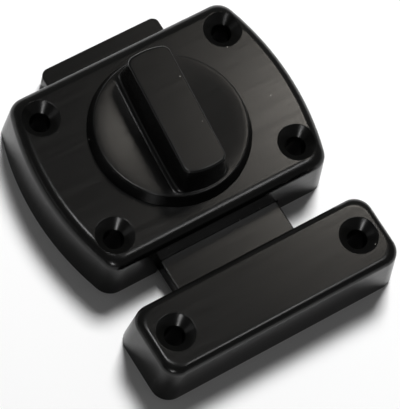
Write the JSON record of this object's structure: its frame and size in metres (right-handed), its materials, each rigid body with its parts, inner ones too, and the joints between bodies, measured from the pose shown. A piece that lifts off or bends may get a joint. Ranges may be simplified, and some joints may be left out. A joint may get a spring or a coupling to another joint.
{
  "type": "thumb-turn door lock",
  "caption": "Surface-mounted thumb-turn lock: a knob on an arched cast casing slides a flat bolt into a separate strike; both screw on through countersunk holes.",
  "frame": {"origin": "where the knob's axis meets the back of the casing, the plane that lies on the door, at the centre of the casing's screw holes", "axes": "+Z out of the door along the knob's axis, -Y the way the bolt is thrown towards the strike, +X along the casing"},
  "size_m": [0.0606, 0.0738, 0.023],
  "materials": {
    "black_enamel": "satin black baked enamel on die-cast zinc",
    "zinc_plated_steel": "bright zinc plating on steel",
    "spring_steel": "bare tempered spring steel",
    "nylon": "natural moulded nylon"
  },
  "bodies": {
    "lock_case": {"casing": "black_enamel", "back_plate": "zinc_plated_steel", "plate_screws": "zinc_plated_steel", "knob_bush": "nylon", "bolt_spring": "spring_steel"},
    "turn_knob": {"thumb_knob": "black_enamel", "crank_lever": "zinc_plated_steel", "crank_pin": "zinc_plated_steel", "crank_washer": "zinc_plated_steel", "crank_screw": "zinc_plated_steel", "wave_washer": "spring_steel"},
    "slide_bolt": {"bolt": "black_enamel"},
    "keeper": {"strike": "black_enamel"}
  },
  "joints": [
    {"name": "knob_turn", "type": "hinge", "parent": "lock_case", "child": "turn_knob", "pos_m": [0, 0, 0], "axis": [0, 0, 1], "range_deg": [-85, 5]},
    {"name": "bolt_slide", "type": "slide", "parent": "lock_case", "child": "slide_bolt", "axis": [0, 1, 0], "range_m": [-0.00077, 0.01302]},
    {"name": "strike_off", "type": "slide", "parent": "lock_case", "child": "keeper", "axis": [0, -1, 0], "range_m": [0, 0.02]}
  ],
  "couplings": [
    {"joint": "bolt_slide", "follows": "knob_turn", "m_per_rad": -0.008778}
  ]
}
